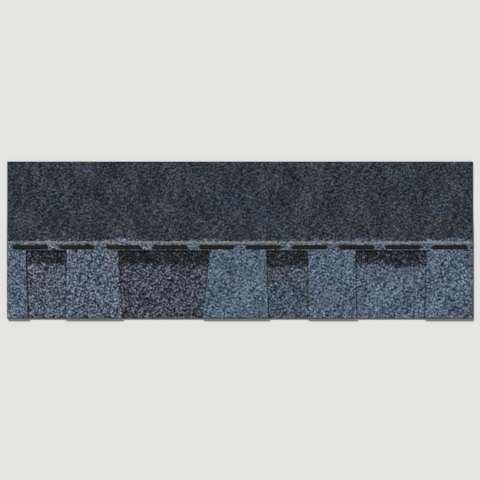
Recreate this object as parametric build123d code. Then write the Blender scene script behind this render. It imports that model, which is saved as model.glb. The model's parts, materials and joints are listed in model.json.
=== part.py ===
from build123d import *
import math
import os

# Laminated asphalt roofing shingle, one unit, in millimetres.
# It lies flat on a level floor, weather side up. +X runs along its length, +Y from the
# butt edge up the roof slope, +Z away from the roof deck. The origin is the middle of
# the underside. Courses overlap so that each one shows only its exposure.

# Overall
shingle_length = 1000.0
exposure = 143.0
head_lap = 51.0

# Plies
top_ply_thickness = 2.5
backer_thickness = 2.3
drape_run = 70.0

# Cut-outs and teeth, as widths at the exposure line, from left to right
cutout_widths = [87.0, 196.5, 88.5, 152.0]
inner_tooth_widths = [111.0, 121.5, 102.5]
first_tooth_share = 0.29
flank_slants = [(4.5, 4.0), (8.5, 15.5), (4.7, 0.0), (3.0, 3.4)]
cutout_overrun = 2.5
cutout_corner_radius = 2.5
tooth_corner_radius = 1.0

# Self-seal adhesive, in dashes just above the exposure line
sealant_offset = 5.0
sealant_width = 10.0
sealant_height = 1.0
sealant_edge_radius = 0.6
sealant_dash_length = 76.0
sealant_gap = 24.0

# Release tape on the underside
tape_width = 18.0
tape_thickness = 0.12
tape_backer_gap = 3.0

# Two exposures and the head lap make the height, so every point of the roof has two layers.
shingle_height = 2 * exposure + head_lap
butt_y = -shingle_height / 2
sealant_centre = exposure + sealant_offset + sealant_width / 2

# The tape meets the sealant of a neighbour that is turned end for end in the bundle.
tape_centre = shingle_height - sealant_centre
backer_height = tape_centre - tape_width / 2 - tape_backer_gap

# Behind the backer the top ply comes down to the floor in two equal tangent arcs.
drape_radius = (drape_run**2 + backer_thickness**2) / (4 * backer_thickness)
drape_angle = math.degrees(math.asin(drape_run / (2 * drape_radius)))
drape_start_y = butt_y + backer_height


def draped_edge(height_above_underside):
    """One long edge of the top ply's section, from the butt to the head."""
    z = backer_thickness + height_above_underside
    over_backer = Line((butt_y, z), (drape_start_y, z))
    crest = JernArc(over_backer @ 1, (1, 0), drape_radius + height_above_underside, -drape_angle)
    hollow = JernArc(crest @ 1, crest % 1, drape_radius - height_above_underside, drape_angle)
    on_floor = Line(hollow @ 1, (butt_y + shingle_height, height_above_underside))
    return over_backer, crest, hollow, on_floor


def draped_ply():
    """The top ply as a sheet of one thickness, before its teeth are cut."""
    underside = draped_edge(0)
    face = draped_edge(top_ply_thickness)
    butt = Line(underside[0] @ 0, face[0] @ 0)
    head = Line(underside[-1] @ 1, face[-1] @ 1)
    section = make_face([*underside, *face, butt, head])
    return extrude(Plane.YZ * section, shingle_length / 2, both=True)


def cutout(left, width, slants):
    """The space between two teeth: narrower at the butt, because the teeth widen there."""
    top_y = butt_y + exposure + cutout_overrun
    reach = (exposure + cutout_overrun) / exposure
    left_slant, right_slant = (slant * reach for slant in slants)
    outline = Polyline(
        (left + left_slant, butt_y),
        (left, top_y),
        (left + width, top_y),
        (left + width - right_slant, butt_y),
        close=True,
    )
    plan = make_face(outline)
    inner_corners = plan.vertices().group_by(Axis.Y)[-1]
    plan = fillet(inner_corners, cutout_corner_radius)
    return extrude(plan, backer_thickness + top_ply_thickness)


def tooth_sheet():
    """Top ply: the head and the teeth that run down from it."""
    end_teeth = shingle_length - sum(cutout_widths) - sum(inner_tooth_widths)
    left = -shingle_length / 2 + first_tooth_share * end_teeth
    ply = draped_ply()
    for width, tooth, slants in zip(cutout_widths, [*inner_tooth_widths, 0], flank_slants):
        ply -= cutout(left, width, slants)
        left += width + tooth
    upright = ply.edges().filter_by(Axis.Z)
    tooth_corners = upright.filter_by_position(Axis.Y, butt_y - 0.1, butt_y + 0.1)
    inside_ends = tooth_corners.sort_by(Axis.X)[1:-1]
    return fillet(inside_ends, tooth_corner_radius)


def backer_sheet():
    """Plain strip under the teeth, flush with the butt and the ends."""
    corner = (-shingle_length / 2, butt_y, 0)
    strip = Box(shingle_length, backer_height, backer_thickness, align=Align.MIN)
    return Pos(*corner) * strip


def sealant_dashes():
    """Low beads of adhesive on the top face, spaced evenly and centred on the length."""
    pitch = sealant_dash_length + sealant_gap
    count = int((shingle_length + sealant_gap) // pitch)
    face_z = backer_thickness + top_ply_thickness
    plan = SlotOverall(sealant_dash_length, sealant_width)
    bead = extrude(plan, sealant_height)
    bead = fillet(bead.faces().sort_by(Axis.Z)[-1].edges(), sealant_edge_radius)
    places = GridLocations(pitch, 0, count, 1)
    return Pos(0, butt_y + sealant_centre, face_z) * Compound([place * bead for place in places])


def release_tape():
    """Thin film on the underside, following the top ply where it starts to come down."""
    start = tape_backer_gap / drape_radius
    end = (tape_backer_gap + tape_width) / drape_radius
    centre = Vector(drape_start_y, backer_thickness - drape_radius)
    first_angle = 90 - math.degrees(end)
    sweep_angle = math.degrees(end - start)
    stuck = CenterArc(centre, drape_radius, first_angle, sweep_angle)
    free = CenterArc(centre, drape_radius - tape_thickness, first_angle, sweep_angle)
    section = make_face([stuck, free, Line(stuck @ 0, free @ 0), Line(stuck @ 1, free @ 1)])
    return extrude(Plane.YZ * section, shingle_length / 2, both=True)


os.makedirs("parts", exist_ok=True)
for make_piece in (tooth_sheet, backer_sheet, sealant_dashes, release_tape):
    export_step(make_piece(), f"parts/{make_piece.__name__}.step")
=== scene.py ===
import json
import math

import bpy
import numpy as np
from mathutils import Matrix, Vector
from mathutils.bvhtree import BVHTree


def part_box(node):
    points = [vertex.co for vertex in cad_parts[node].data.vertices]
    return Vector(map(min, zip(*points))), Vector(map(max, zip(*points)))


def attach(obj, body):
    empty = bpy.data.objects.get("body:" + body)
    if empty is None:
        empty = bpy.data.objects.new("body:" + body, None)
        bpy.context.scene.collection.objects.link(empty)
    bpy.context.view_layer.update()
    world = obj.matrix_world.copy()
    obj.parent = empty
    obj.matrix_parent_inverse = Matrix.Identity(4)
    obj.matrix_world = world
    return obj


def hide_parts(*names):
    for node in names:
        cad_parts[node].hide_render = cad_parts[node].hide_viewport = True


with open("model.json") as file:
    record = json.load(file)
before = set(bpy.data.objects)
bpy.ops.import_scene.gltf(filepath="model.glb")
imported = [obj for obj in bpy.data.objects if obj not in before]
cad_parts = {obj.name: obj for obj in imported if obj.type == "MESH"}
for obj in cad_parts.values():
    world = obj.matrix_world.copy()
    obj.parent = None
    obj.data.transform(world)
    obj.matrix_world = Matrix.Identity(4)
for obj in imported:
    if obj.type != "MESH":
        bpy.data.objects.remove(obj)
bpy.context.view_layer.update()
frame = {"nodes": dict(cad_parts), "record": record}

# A laminated asphalt shingle, weather side up, in metres. Heights up the slope are
# counted from the butt edge, which is at the bottom of the picture.
MM = 0.001
EXPOSURE = 143 * MM
CUTOUT_OVERRUN = 2.5 * MM
DRAPE_RUN = 70 * MM
MAT_THICKNESS = 0.4 * MM
NAIL_LINE = 163 * MM
NAIL_LINE_WIDTH = 5 * MM
PAINT_COVERAGE = 0.75

# Crushed mineral granules, and the shares between which they vary
GRAIN_PITCH = 1.78 * MM
GRAIN_JITTER = 0.32
GRAIN_RADIUS = 1.33 * MM
RADIUS_RANGE = (0.72, 1.25)
CORNER_RANGE = (0.8, 1.2)
GRAIN_FLATNESS = 0.62
GRAIN_CROWN = 0.5 * MM
CROWN_RANGE = (0.55, 1.35)
EDGE_MARGIN = 1.2 * MM
# Grains stand this far back from the cuts. The dark bare strip is partly real bare asphalt and partly
# painted shade where tooth meets backer.
BARE_SHADE_MARGIN = 1.0 * MM
SEED = 7

# Rays fall on the sheets from this height, and one that hits nothing brings MISSED.
DROP_HEIGHT = 100 * MM
MISSED = -1.0

# Waves of a random field: the shortest, the longest and how many
CLUMP_WAVES = (5 * MM, 100 * MM, 400)
PATCH_WAVES = (60 * MM, 300 * MM, 40)
BEAD_SIDE_WAVES = (14 * MM, 60 * MM, 24)
BEAD_TOP_WAVES = (9 * MM, 40 * MM, 24)

# How a grain's lightness and tint are drawn from its blend
OWN_SHARE = 0.5
CLUMP_SHARE = 0.8
DARK_LEAN = 0.15
PATCH_LIGHTNESS = 3.5
PATCH_TINT = 0.26
DRAW_LIMITS = (0.001, 0.999)

# Borders between blends: the coloured granules run on past the exposure line.
PRIME_OVERRUN = 24 * MM
BORDER_SOFTNESS = 2.8 * MM
BORDER_DRIFT = 2 * MM

# Sealant beads: their mesh, the section's least share at the tips, the powers that shape
# the dome, and how far sides and top waver. A swing holds a wave's outmost and inmost value.
BEAD_STEPS = 76
BEAD_RINGS = 13
BEAD_TIP = 0.02
BEAD_FLATNESS = 4
BEAD_SHOULDER = 0.6
BEAD_WAVER = 0.05
SIDE_SWING = (-1.5, 1.0)
TOP_SWING = (-1.0, 1.0)

# Floor and camera, with lens and sensor in millimetres
FLOOR_SIZE = 60
FLOOR_GAP = 0.1 * MM
FLOOR_COLOUR = (228, 228, 226)
LENS = 100.0
SENSOR = 36.0
SIDE_MARGIN = 0.03

# The sun's way along x and y for each step down, and its spread in degrees. Sun and sky
# bring their shares of a plain level, at which a colour shows about as it is written.
SUN_SLOPE = (0.7, -1.35)
SUN_SPREAD = 6
SUN_SHARE = 0.70
SKY_SHARE = 0.30
BACKGROUND = 0.9

# A tint is a colour cast: how far red, green and blue stand from a grain's lightness.
TINTS = {
    "slate": (-22, 2, 22),
    "steel": (-18, -5, 18),
    "sage": (-15, 2, 16),
    "violet": (-11, -6, 12),
    "charcoal": (-5, -1, 5),
    "umber": (1, -1, 1),
}
LIGHTNESS = (4, 32, 60, 90, 122, 156, 194, 230)
PAINT = (172, 172, 166)

# A blend is what falls on one stretch of a sheet: mean lightness, spread, and tints.
BLENDS = {
    "bright_slate": (123, 39, {"slate": 0.6, "steel": 0.2, "sage": 0.2}),
    "steel_blue": (121, 41, {"slate": 0.4, "steel": 0.6}),
    "pale_steel": (118, 54, {"slate": 0.1, "steel": 0.5, "sage": 0.2, "violet": 0.2}),
    "soft_grey": (110, 54, {"slate": 0.1, "sage": 0.5, "violet": 0.4}),
    "sage_grey": (98, 48, {"slate": 0.35, "sage": 0.45, "violet": 0.2}),
    "violet_dark": (82, 60, {"sage": 0.15, "violet": 0.85}),
    "soft_shadow": (26, 72, {"violet": 0.4, "charcoal": 0.3, "umber": 0.3}),
    "deep_shadow": (1, 72, {"charcoal": 0.8, "umber": 0.2}),
    "head": (62, 34, {"sage": 0.25, "violet": 0.15, "charcoal": 0.6}),
}
BLEND_NAMES = tuple(BLENDS)

# The blends of the teeth and of the recesses between them, from left to right. A shadow
# band runs along the top of each recess, to these depths below the exposure line.
TOOTH_BLENDS = ("steel_blue", "pale_steel", "bright_slate", "steel_blue", "steel_blue")
RECESS_BLENDS = ("soft_grey", "violet_dark", "sage_grey", "steel_blue")
SHADOW_BLENDS = ("soft_shadow", "deep_shadow", "deep_shadow", "soft_shadow")
SHADOW_DEPTHS = (27 * MM, 29 * MM, 33 * MM, 28 * MM)

# Finishes that are the same all over a surface
GRAIN_FINISH = {"Roughness": 0.65, "Specular IOR Level": 0.1}
SHEET_FINISH = {"Roughness": 0.85, "Specular IOR Level": 0.15}
FLOOR_FINISH = {"Roughness": 0.9, "Specular IOR Level": 0.2}
SEALANT_SPECULAR = 0.12
FILM_SPECULAR = 0.5

# Textures: cells to the metre, and a noise's detail. The film's cells follow its stretch.
FINES_SCALE = 1000.0
SAND_SCALE = 2600.0
FIBRE_NOISE = (900.0, 3.0)
CLOUD_NOISE = (26.0, 4.0)
SKIN_NOISE = (420.0, 5.0)
DUST_NOISE = (1800.0, 2.0)
CREASE_NOISE = (1.0, 3.0)
CREASE_STRETCH = (18.0, 320.0, 320.0)

# What a noise brings: a span of its value, then the results at the span's two ends
MAT_SHARE = ((0.35, 0.6), (0.0, 1.0))
CLOUD_SHARE = ((0.4, 0.7), (0.0, 0.45))
SKIN_ROUGHNESS = ((0.3, 0.7), (0.78, 0.95))
CREASE_ROUGHNESS = ((0.35, 0.65), (0.18, 0.34))

# Relief: its depth and its strength
SHEET_RELIEF = (0.5 * MM, 0.9)
SKIN_RELIEF = (0.25 * MM, 0.7)
CREASE_RELIEF = (0.1 * MM, 0.5)

# Display colours, alone or as stops along a texture's value
FINES_COLOURS = ((0, (6, 6, 8)), (0.6, (24, 26, 30)), (1, (86, 94, 106)))
ASPHALT_COLOURS = ((0.35, (12, 12, 12)), (0.75, (44, 43, 42)))
SAND_COLOURS = ((0, (40, 40, 41)), (0.7, (78, 77, 75)), (1, (146, 143, 136)))
SEALANT_COLOURS = ((0.5, (16, 16, 17)), (0.72, (58, 57, 55)))
FILM_COLOURS = ((0.3, (136, 138, 139)), (0.7, (170, 171, 170)))
MAT_COLOUR = (132, 126, 110)
DUST_COLOUR = (104, 102, 97)

# A face is on top, or on the underside, where its normal's upright part is past this.
UPRIGHT = 0.5

node_of = frame["nodes"]
ply_low, ply_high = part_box("tooth_sheet")
backer_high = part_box("backer_sheet")[1]
sealant_low, sealant_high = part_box("sealant_dashes")
butt_y = ply_low.y
rng = np.random.default_rng(SEED)


# Colours and shader nodes
def linear(colour):
    """An 8-bit display colour as a shader takes it: linear by the sRGB curve, and opaque."""
    shown = [min(max(channel, 0), 255) / 255 for channel in colour]
    light = [
        level / 12.92 if level <= 0.04045 else ((level + 0.055) / 1.055) ** 2.4
        for level in shown]
    return (*light, 1)


def fill(made, inputs):
    """Give a node's inputs their values, or link them where the value is a socket."""
    for key, value in inputs.items():
        if isinstance(value, bpy.types.NodeSocket):
            made.id_data.links.new(value, made.inputs[key])
        else:
            made.inputs[key].default_value = value


def node(tree, kind, inputs=None, **settings):
    """A new shader node with its settings, and with its inputs filled."""
    made = tree.nodes.new("ShaderNode" + kind)
    for key, value in settings.items():
        setattr(made, key, value)
    fill(made, inputs or {})
    return made


def calculated(tree, operation, first, second=0.0):
    return node(tree, "Math", {0: first, 1: second}, operation=operation).outputs[0]


def ranged(tree, value, span, results):
    """The value's smooth way across a span, as a number between two results."""
    start, end = span
    low, high = results
    inputs = {"Value": value, "From Min": start, "From Max": end, "To Min": low, "To Max": high}
    return node(tree, "MapRange", inputs, interpolation_type="SMOOTHSTEP").outputs[0]


def ramped(tree, factor, stops):
    """Display colours along a factor, each stop a position and a colour."""
    made = node(tree, "ValToRGB", {"Fac": factor})
    elements = made.color_ramp.elements
    while len(elements) < len(stops):
        elements.new(0.5)
    for element, (position, colour) in zip(elements, stops):
        element.position = position
        element.color = linear(colour)
    return made.outputs["Color"]


def mixed(tree, factor, first, second):
    """A colour between the first and the second, by a factor."""
    return node(tree, "Mix", {0: factor, 6: first, 7: second}, data_type="RGBA").outputs[2]


def noise(tree, position, scale, detail):
    inputs = {"Vector": position, "Scale": scale, "Detail": detail}
    return node(tree, "TexNoise", inputs).outputs[0]


def bumped(tree, height, depth, strength, invert=False):
    """The surface's normal, tilted by a relief."""
    inputs = {"Height": height, "Distance": depth, "Strength": strength}
    return node(tree, "Bump", inputs, invert=invert).outputs["Normal"]


# Materials
def new_material(name):
    """An empty material, with its node tree and its shader."""
    material = bpy.data.materials.new(name)
    material.use_nodes = True
    return material, material.node_tree, material.node_tree.nodes["Principled BSDF"]


def plain_material(name, colour, finish):
    """One colour all over."""
    material, _, shader = new_material(name)
    fill(shader, {"Base Color": linear(colour), **finish})
    return material


def grain_materials():
    """A ceramic coat for every tint at every lightness, then the nail line's paint."""
    made = []
    for tint, cast in TINTS.items():
        for lightness in LIGHTNESS:
            colour = [lightness + channel for channel in cast]
            made.append(plain_material(f"grain_{tint}_{lightness}", colour, GRAIN_FINISH))
    made.append(plain_material("grain_painted", PAINT, GRAIN_FINISH))
    return made


def fines_colour(tree, fines):
    """Dark fines between the grains, each cell with its own shade."""
    shade = node(tree, "SeparateColor", {0: fines.outputs["Color"]}).outputs["Red"]
    return ramped(tree, shade, FINES_COLOURS)


def edge_colour(tree, position, fibre, thickness, lift):
    """Black asphalt, with a broken line of glass mat at mid thickness all along the drape."""
    at = node(tree, "SeparateXYZ", {0: position}).outputs
    drape_span = (backer_high.y, backer_high.y + DRAPE_RUN)
    under = ranged(tree, at["Y"], drape_span, (lift, 0.0))
    within = calculated(tree, "SUBTRACT", at["Z"], under)
    from_mat = calculated(tree, "ABSOLUTE", calculated(tree, "SUBTRACT", within, thickness / 2))
    in_mat = calculated(tree, "LESS_THAN", from_mat, MAT_THICKNESS / 2)
    mat_share = calculated(tree, "MULTIPLY", in_mat, ranged(tree, fibre, *MAT_SHARE))
    return mixed(tree, mat_share, ramped(tree, fibre, ASPHALT_COLOURS), linear(MAT_COLOUR))


def underside_colour(tree, position):
    """Sanded asphalt under clouds of dust."""
    sand = node(tree, "TexVoronoi", {"Vector": position, "Scale": SAND_SCALE})
    grit = node(tree, "SeparateColor", {0: sand.outputs["Color"]}).outputs["Green"]
    dusted = ranged(tree, noise(tree, position, *CLOUD_NOISE), *CLOUD_SHARE)
    return mixed(tree, dusted, ramped(tree, grit, SAND_COLOURS), linear(DUST_COLOUR))


def sheet_material(name, thickness, lift):
    """An asphalt sheet whose underside is at the lift, and comes down to the floor in the drape."""
    material, tree, shader = new_material(name)
    place = node(tree, "TexCoord").outputs
    position = place["Object"]
    facing = node(tree, "SeparateXYZ", {0: place["Normal"]}).outputs["Z"]
    on_top = calculated(tree, "GREATER_THAN", facing, UPRIGHT)
    below = calculated(tree, "LESS_THAN", facing, -UPRIGHT)
    fines = node(tree, "TexVoronoi", {"Vector": position, "Scale": FINES_SCALE})
    fibre = noise(tree, position, *FIBRE_NOISE)
    edge = edge_colour(tree, position, fibre, thickness, lift)
    body = mixed(tree, on_top, edge, fines_colour(tree, fines))
    relief = node(tree, "Mix", {0: on_top, 2: fibre, 3: fines.outputs["Distance"]}).outputs[0]
    fill(shader, {
        "Base Color": mixed(tree, below, body, underside_colour(tree, position)),
        "Normal": bumped(tree, relief, *SHEET_RELIEF, invert=True),
        **SHEET_FINISH,
    })
    return material


def sealant_material():
    """Hot-applied bitumen: black, with a dull skin and a little dust."""
    material, tree, shader = new_material("sealant_bitumen")
    position = node(tree, "TexCoord").outputs["Object"]
    skin = noise(tree, position, *SKIN_NOISE)
    fill(shader, {
        "Base Color": ramped(tree, noise(tree, position, *DUST_NOISE), SEALANT_COLOURS),
        "Roughness": ranged(tree, skin, *SKIN_ROUGHNESS),
        "Specular IOR Level": SEALANT_SPECULAR,
        "Normal": bumped(tree, skin, *SKIN_RELIEF),
    })
    return material


def tape_material():
    """Thin grey release film, glossy, creased along its length."""
    material, tree, shader = new_material("release_film")
    position = node(tree, "TexCoord").outputs["Object"]
    stretched = node(tree, "Mapping", {"Vector": position, "Scale": CREASE_STRETCH}).outputs[0]
    crease = noise(tree, stretched, *CREASE_NOISE)
    fill(shader, {
        "Base Color": ramped(tree, crease, FILM_COLOURS),
        "Roughness": ranged(tree, crease, *CREASE_ROUGHNESS),
        "Specular IOR Level": FILM_SPECULAR,
        "Normal": bumped(tree, crease, *CREASE_RELIEF),
    })
    return material


def dress(name, material):
    """Give a node of the part its material."""
    mesh = node_of[name].data
    mesh.materials.clear()
    mesh.materials.append(material)


# Meshes and random fields
def joined_mesh(name, corners, triangles):
    """One object of many triangles, each three places in the list of corners."""
    mesh = bpy.data.meshes.new(name)
    mesh.vertices.add(len(corners))
    mesh.vertices.foreach_set("co", corners.astype(np.float32).ravel())
    mesh.loops.add(triangles.size)
    mesh.loops.foreach_set("vertex_index", triangles.astype(np.int32).ravel())
    mesh.polygons.add(len(triangles))
    mesh.polygons.foreach_set("loop_start", np.arange(0, triangles.size, 3, dtype=np.int32))
    mesh.update(calc_edges=True)
    piece = bpy.data.objects.new(name, mesh)
    bpy.context.scene.collection.objects.link(piece)
    return piece


def soft_field(points, waves):
    """A random field over the plan, of plane waves that fade towards the shortest, spread about 1."""
    shortest, longest, count = waves
    share = rng.uniform((shortest / longest) ** 2, 1, count)
    angles = rng.uniform(0, 2 * math.pi, count)
    phases = rng.uniform(0, 2 * math.pi, count)
    wave_numbers = 2 * math.pi / shortest * np.sqrt(share)
    strengths = np.sqrt(1 - share ** 2)
    field = np.zeros(len(points))
    for wave_number, angle, phase, strength in zip(wave_numbers, angles, phases, strengths):
        along = points @ (math.cos(angle), math.sin(angle))
        field += strength * np.cos(wave_number * along + phase)
    return field * math.sqrt(2) / np.linalg.norm(strengths)


# Places of the granules
def grain_points():
    """Jittered hexagonal grid over the whole shingle, in plan."""
    row_step = GRAIN_PITCH * math.sqrt(3) / 2
    xs = np.arange(ply_low.x + EDGE_MARGIN, ply_high.x - EDGE_MARGIN, GRAIN_PITCH)
    ys = np.arange(ply_low.y + EDGE_MARGIN, ply_high.y - EDGE_MARGIN, row_step)
    grid_x, grid_y = np.meshgrid(xs, ys)
    grid_x[1::2] += GRAIN_PITCH / 2
    points = np.stack([grid_x.ravel(), grid_y.ravel()], 1)
    points += rng.uniform(-GRAIN_JITTER, GRAIN_JITTER, points.shape) * GRAIN_PITCH
    reach = np.array([ply_high.x, ply_high.y]) - EDGE_MARGIN
    return points[(np.abs(points) < reach).all(1)]


def tree_of(name):
    """A node's faces, ready for ray casts."""
    mesh = node_of[name].data
    corners = [vertex.co for vertex in mesh.vertices]
    return BVHTree.FromPolygons(corners, [face.vertices for face in mesh.polygons])


LANDINGS = ("tooth_sheet", "backer_sheet", "sealant_dashes")
TREES = [tree_of(name) for name in LANDINGS]
BACKER = LANDINGS.index("backer_sheet")
SEALANT = LANDINGS.index("sealant_dashes")


def drop_on(points):
    """Height of what each point falls on, or MISSED, and its place in LANDINGS."""
    down = Vector((0, 0, -1))
    heights = []
    for tree in TREES:
        hits = (tree.ray_cast(Vector((x, y, DROP_HEIGHT)), down)[0] for x, y in points)
        heights.append([MISSED if hit is None else hit.z for hit in hits])
    heights = np.array(heights)
    return heights.max(0), heights.argmax(0)


def clear_of_bare_shaded_cuts(points, landed):
    """Whether a grain stands clear of the cuts' bare strips: knife-bared asphalt and painted edge
    shade.
    """
    clear = np.ones(len(points), bool)
    low = points[:, 1] < butt_y + EXPOSURE + CUTOUT_OVERRUN + 2 * BARE_SHADE_MARGIN
    for step in ((1, 0), (-1, 0), (0, 1), (0, -1)):
        heights, beside = drop_on(points[low] + np.array(step) * BARE_SHADE_MARGIN)
        same_sheet = (beside == BACKER) == (landed[low] == BACKER)
        clear[low] &= (heights == MISSED) | same_sheet
    return clear


# Colours of the granules
GRAINS = grain_materials()


def zone_of(points, on_backer):
    """Number of the tooth or recess, from the record's own boxes of the recesses."""
    openings = frame["record"]["physics"]["openings"]
    boxes = sorted(opening["box_m"] for opening in openings)
    middles = np.array([(low[0] + high[0]) / 2 for low, high in boxes])
    teeth = np.searchsorted(middles, points[:, 0])
    recesses = np.abs(points[:, :1] - middles).argmin(1)
    return np.where(on_backer, recesses, teeth)


def blend_numbers(names):
    """Places in BLENDS of the blends that are named."""
    return np.array([BLEND_NAMES.index(name) for name in names])


def choose_blends(points, on_backer):
    """Place in BLENDS for every grain."""
    zone = zone_of(points, on_backer)
    ragged = rng.normal(0, BORDER_SOFTNESS, len(points))
    drift = BORDER_DRIFT * soft_field(points, PATCH_WAVES)
    past_exposure = points[:, 1] - butt_y - EXPOSURE + ragged + drift
    chosen = blend_numbers(TOOTH_BLENDS)[zone]
    chosen[past_exposure > PRIME_OVERRUN] = BLEND_NAMES.index("head")
    recess = zone[on_backer]
    in_shadow = past_exposure[on_backer] > -np.array(SHADOW_DEPTHS)[recess]
    shadowed = blend_numbers(SHADOW_BLENDS)[recess]
    plain = blend_numbers(RECESS_BLENDS)[recess]
    chosen[on_backer] = np.where(in_shadow, shadowed, plain)
    return chosen


def choose_lightness(points, blends):
    """Place in LIGHTNESS for every grain: its own chance, clumps and soft patches."""
    mean, spread = np.array([blend[:2] for blend in BLENDS.values()]).T
    own = rng.normal(0, 1, len(points))
    clump = soft_field(points, CLUMP_WAVES)
    patch = soft_field(points, PATCH_WAVES)
    deviation = OWN_SHARE * own + CLUMP_SHARE * clump
    deviation -= DARK_LEAN * (deviation ** 2 - 1)
    lightness = mean[blends] + PATCH_LIGHTNESS * patch + spread[blends] * deviation
    return np.abs(lightness[:, None] - np.array(LIGHTNESS)).argmin(1)


def choose_tints(points, blends):
    """Place in TINTS for every grain, drawn by the blend's shares, in soft patches."""
    shares = np.array([[blend[2].get(tint, 0.0) for tint in TINTS] for blend in BLENDS.values()])
    draw = rng.random(len(points)) + PATCH_TINT * soft_field(points, PATCH_WAVES)
    draw = np.clip(draw, *DRAW_LIMITS)
    return (draw[:, None] > shares[blends].cumsum(1)).sum(1)


def on_nail_line(points, on_backer):
    """Whether a grain has caught the paint of the nail line."""
    from_line = np.abs(points[:, 1] - butt_y - NAIL_LINE)
    under_paint = ~on_backer & (from_line < NAIL_LINE_WIDTH / 2)
    return under_paint & (rng.random(len(points)) < PAINT_COVERAGE)


def choose_materials(points, on_backer):
    """Place in GRAINS for every grain."""
    blends = choose_blends(points, on_backer)
    lightness = choose_lightness(points, blends)
    materials = choose_tints(points, blends) * len(LIGHTNESS) + lightness
    materials[on_nail_line(points, on_backer)] = len(GRAINS) - 1
    return materials


# Granules
CRYSTAL = np.array([(1, 0, 0), (0, 1, 0), (-1, 0, 0), (0, -1, 0), (0, 0, 1), (0, 0, -1)])
CRYSTAL_FACES = np.array([
    (0, 1, 4), (1, 2, 4), (2, 3, 4), (3, 0, 4), (1, 0, 5), (2, 1, 5), (3, 2, 5), (0, 3, 5)])


def turned(count):
    """Random rotation matrices, from quaternions."""
    quaternions = rng.normal(0, 1, (count, 4))
    w, x, y, z = (quaternions / np.linalg.norm(quaternions, axis=1, keepdims=True)).T
    rows = [
        [1 - 2 * (y * y + z * z), 2 * (x * y - z * w), 2 * (x * z + y * w)],
        [2 * (x * y + z * w), 1 - 2 * (x * x + z * z), 2 * (y * z - x * w)],
        [2 * (x * z - y * w), 2 * (y * z + x * w), 1 - 2 * (x * x + y * y)],
    ]
    return np.moveaxis(np.array(rows), 2, 0)


def grain_piece(name, points, heights, materials):
    """Crushed grains as one mesh: closed, uneven eight-sided crystals sunk in the asphalt."""
    count = len(points)
    radii = GRAIN_RADIUS * rng.uniform(*RADIUS_RANGE, (count, 1, 1))
    corners = CRYSTAL * radii * rng.uniform(*CORNER_RANGE, (count, len(CRYSTAL), 1))
    corners = np.einsum("nij,nkj->nki", turned(count), corners)
    corners[:, :, 2] *= GRAIN_FLATNESS
    crown = GRAIN_CROWN * rng.uniform(*CROWN_RANGE, count)
    rise = heights + crown - corners[:, :, 2].max(1)
    corners += np.column_stack([points, rise])[:, None]
    faces = CRYSTAL_FACES + len(CRYSTAL) * np.arange(count)[:, None, None]
    piece = joined_mesh(name, corners.reshape(-1, 3), faces.reshape(-1, 3))
    used, slots = np.unique(materials, return_inverse=True)
    for index in used:
        piece.data.materials.append(GRAINS[index])
    of_face = np.repeat(slots, len(CRYSTAL_FACES)).astype(np.int32)
    piece.data.polygons.foreach_set("material_index", of_face)
    return piece


def granules():
    """All the granules, in joined pieces by sheet and by stretch of the length."""
    points = grain_points()
    heights, landed = drop_on(points)
    # Grains by the cuts are left off: bare asphalt there, which also serves as painted shade along
    # each tooth's edge.
    keep = (heights > MISSED) & (landed != SEALANT) & clear_of_bare_shaded_cuts(points, landed)
    points, heights = points[keep], heights[keep]
    on_backer = landed[keep] == BACKER
    materials = choose_materials(points, on_backer)
    on_head = ~on_backer & (points[:, 1] > butt_y + EXPOSURE + PRIME_OVERRUN)
    groups = {
        "tooth_granules": (~on_backer & ~on_head, ("left", "right")),
        "recess_granules": (on_backer, ("left", "right")),
        "head_granules": (on_head, ("left", "middle", "right")),
    }
    share = (points[:, 0] - ply_low.x) / (ply_high.x - ply_low.x)
    for name, (member, stretches) in groups.items():
        stretch = (share * len(stretches)).astype(int)
        for number, side in enumerate(stretches):
            mine = member & (stretch == number)
            piece = grain_piece(f"{name}_{side}", points[mine], heights[mine], materials[mine])
            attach(piece, "root")


# Sealant beads
def dash_spans():
    """Where each dash starts and ends along the shingle, from the faces of the node."""
    mesh = node_of["sealant_dashes"].data
    ranges = []
    for face in mesh.polygons:
        xs = [mesh.vertices[i].co.x for i in face.vertices]
        ranges.append((min(xs), max(xs)))
    spans = []
    for start, end in sorted(ranges):
        if spans and start <= spans[-1][1]:
            spans[-1][1] = max(spans[-1][1], end)
        else:
            spans.append([start, end])
    return spans


def waver(along, waves, swing):
    """Shares of the full size along one dash: 1 where the wave is outmost, and less elsewhere."""
    outmost, inmost = swing
    flat = np.column_stack([along, np.zeros_like(along)])
    wave = np.clip(soft_field(flat, waves), outmost, inmost)
    return 1 - BEAD_WAVER * (1 - wave / outmost)


def bead(start, end):
    """One bead as rings across it: low domed section, wavering sides, rounded ends."""
    along = 0.5 - 0.5 * np.cos(np.linspace(0, math.pi, BEAD_STEPS))
    x = start + (end - start) * along
    half_width = (sealant_high.y - sealant_low.y) / 2
    from_end = np.minimum(x - start, end - x)
    rounded = np.sqrt(1 - (1 - np.clip(from_end / half_width, 0, 1)) ** 2)
    rounded = np.maximum(rounded, BEAD_TIP)
    wide = waver(x, BEAD_SIDE_WAVES, SIDE_SWING)
    tall = waver(x, BEAD_TOP_WAVES, TOP_SWING)
    across = np.cos(np.linspace(0, math.pi, BEAD_RINGS))
    middle = (sealant_high.y + sealant_low.y) / 2
    y = middle + half_width * (wide * rounded)[:, None] * across
    dome = (1 - across ** BEAD_FLATNESS) ** BEAD_SHOULDER
    height = (sealant_high.z - sealant_low.z) * (tall * rounded ** BEAD_SHOULDER)[:, None] * dome
    return np.stack([np.broadcast_to(x[:, None], y.shape), y, sealant_low.z + height], 2)


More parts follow.
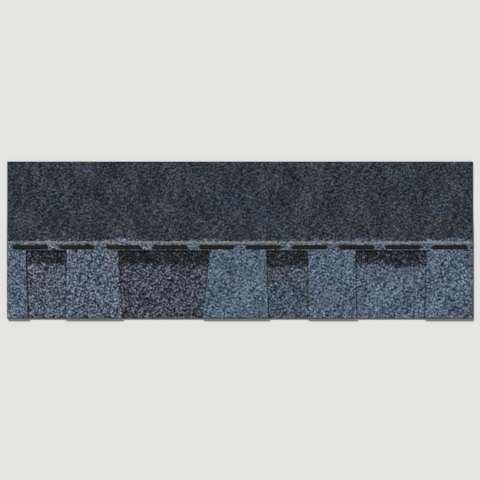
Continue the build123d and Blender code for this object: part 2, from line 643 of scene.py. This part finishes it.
def bead_shell(ridge):
    """Closed triangles of one bead: its skin, the flat bottom and the two end caps."""
    steps, rings = ridge.shape[:2]
    corner = np.arange(steps * rings).reshape(steps, rings)
    here = corner[:-1, :-1].ravel()
    ahead = corner[1:, :-1].ravel()
    beside = corner[:-1, 1:].ravel()
    opposite = corner[1:, 1:].ravel()
    skin = [np.stack([here, opposite, ahead], 1), np.stack([here, beside, opposite], 1)]
    near, far = corner[:, 0], corner[:, -1]
    bottom = [
        np.stack([near[:-1], near[1:], far[1:]], 1), np.stack([near[:-1], far[1:], far[:-1]], 1)]
    first, last = corner[0], corner[-1]
    caps = [(first[0], first[i + 1], first[i]) for i in range(1, rings - 1)]
    caps += [(last[0], last[i], last[i + 1]) for i in range(1, rings - 1)]
    return np.concatenate([*skin, *bottom, caps])


def sealant_beads():
    """A domed bead in the place of each dash, all in one piece."""
    corners, triangles, count = [], [], 0
    for start, end in dash_spans():
        ridge = bead(start, end)
        triangles.append(bead_shell(ridge) + count)
        corners.append(ridge.reshape(-1, 3))
        count += len(corners[-1])
    piece = joined_mesh("sealant_beads", np.concatenate(corners), np.concatenate(triangles))
    piece.data.polygons.foreach_set("use_smooth", [True] * len(piece.data.polygons))
    piece.data.materials.append(sealant_material())
    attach(piece, "root")
    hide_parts("sealant_dashes")


# Stage
def pale_floor():
    bpy.ops.mesh.primitive_plane_add(size=FLOOR_SIZE, location=(0, 0, -FLOOR_GAP))
    floor = bpy.context.object
    floor.name = "floor"
    floor.data.materials.append(plain_material("floor_pale", FLOOR_COLOUR, FLOOR_FINISH))


def top_camera():
    """Straight above the shingle, far enough for its whole length."""
    data = bpy.data.cameras.new("camera")
    data.lens = LENS
    data.sensor_width = SENSOR
    data.dof.use_dof = False
    camera = bpy.data.objects.new("camera", data)
    half_width = (ply_high.x - ply_low.x) / 2 * (1 + SIDE_MARGIN)
    camera.location = (0, 0, ply_high.z + half_width / (SENSOR / 2 / LENS))
    bpy.context.scene.collection.objects.link(camera)
    bpy.context.scene.camera = camera


def soft_sun():
    """Light from the upper left, which gives a level face the sun's share."""
    rays = Vector((*SUN_SLOPE, -1)).normalized()
    data = bpy.data.lights.new("key", "SUN")
    data.energy = SUN_SHARE * math.pi / -rays.z
    data.angle = math.radians(SUN_SPREAD)
    key = bpy.data.objects.new("key", data)
    key.rotation_mode = "QUATERNION"
    key.rotation_quaternion = rays.to_track_quat("-Z", "Y")
    bpy.context.scene.collection.objects.link(key)


def even_sky():
    """White light from all round, which camera, gloss and glass see as a pale background."""
    world = bpy.data.worlds.new("world")
    bpy.context.scene.world = world
    world.use_nodes = True
    tree = world.node_tree
    sky = tree.nodes["Background"]
    fill(sky, {"Color": (1, 1, 1, 1), "Strength": SKY_SHARE})
    seen = node(tree, "Background", {"Color": (BACKGROUND, BACKGROUND, BACKGROUND, 1)})
    ray = node(tree, "LightPath").outputs
    mirrored = calculated(tree, "MAXIMUM", ray["Is Glossy Ray"], ray["Is Transmission Ray"])
    shown = calculated(tree, "MAXIMUM", ray["Is Camera Ray"], mirrored)
    mix = node(tree, "MixShader", {0: shown, 1: sky.outputs[0], 2: seen.outputs[0]})
    fill(tree.nodes["World Output"], {"Surface": mix.outputs[0]})


# The shingle and its stage
granules()
sealant_beads()
dress("tooth_sheet", sheet_material("asphalt_top_ply", ply_high.z - backer_high.z, backer_high.z))
dress("backer_sheet", sheet_material("asphalt_backer", backer_high.z, 0.0))
dress("release_tape", tape_material())
pale_floor()
top_camera()
soft_sun()
even_sky()
bpy.context.scene.view_settings.view_transform = "Standard"
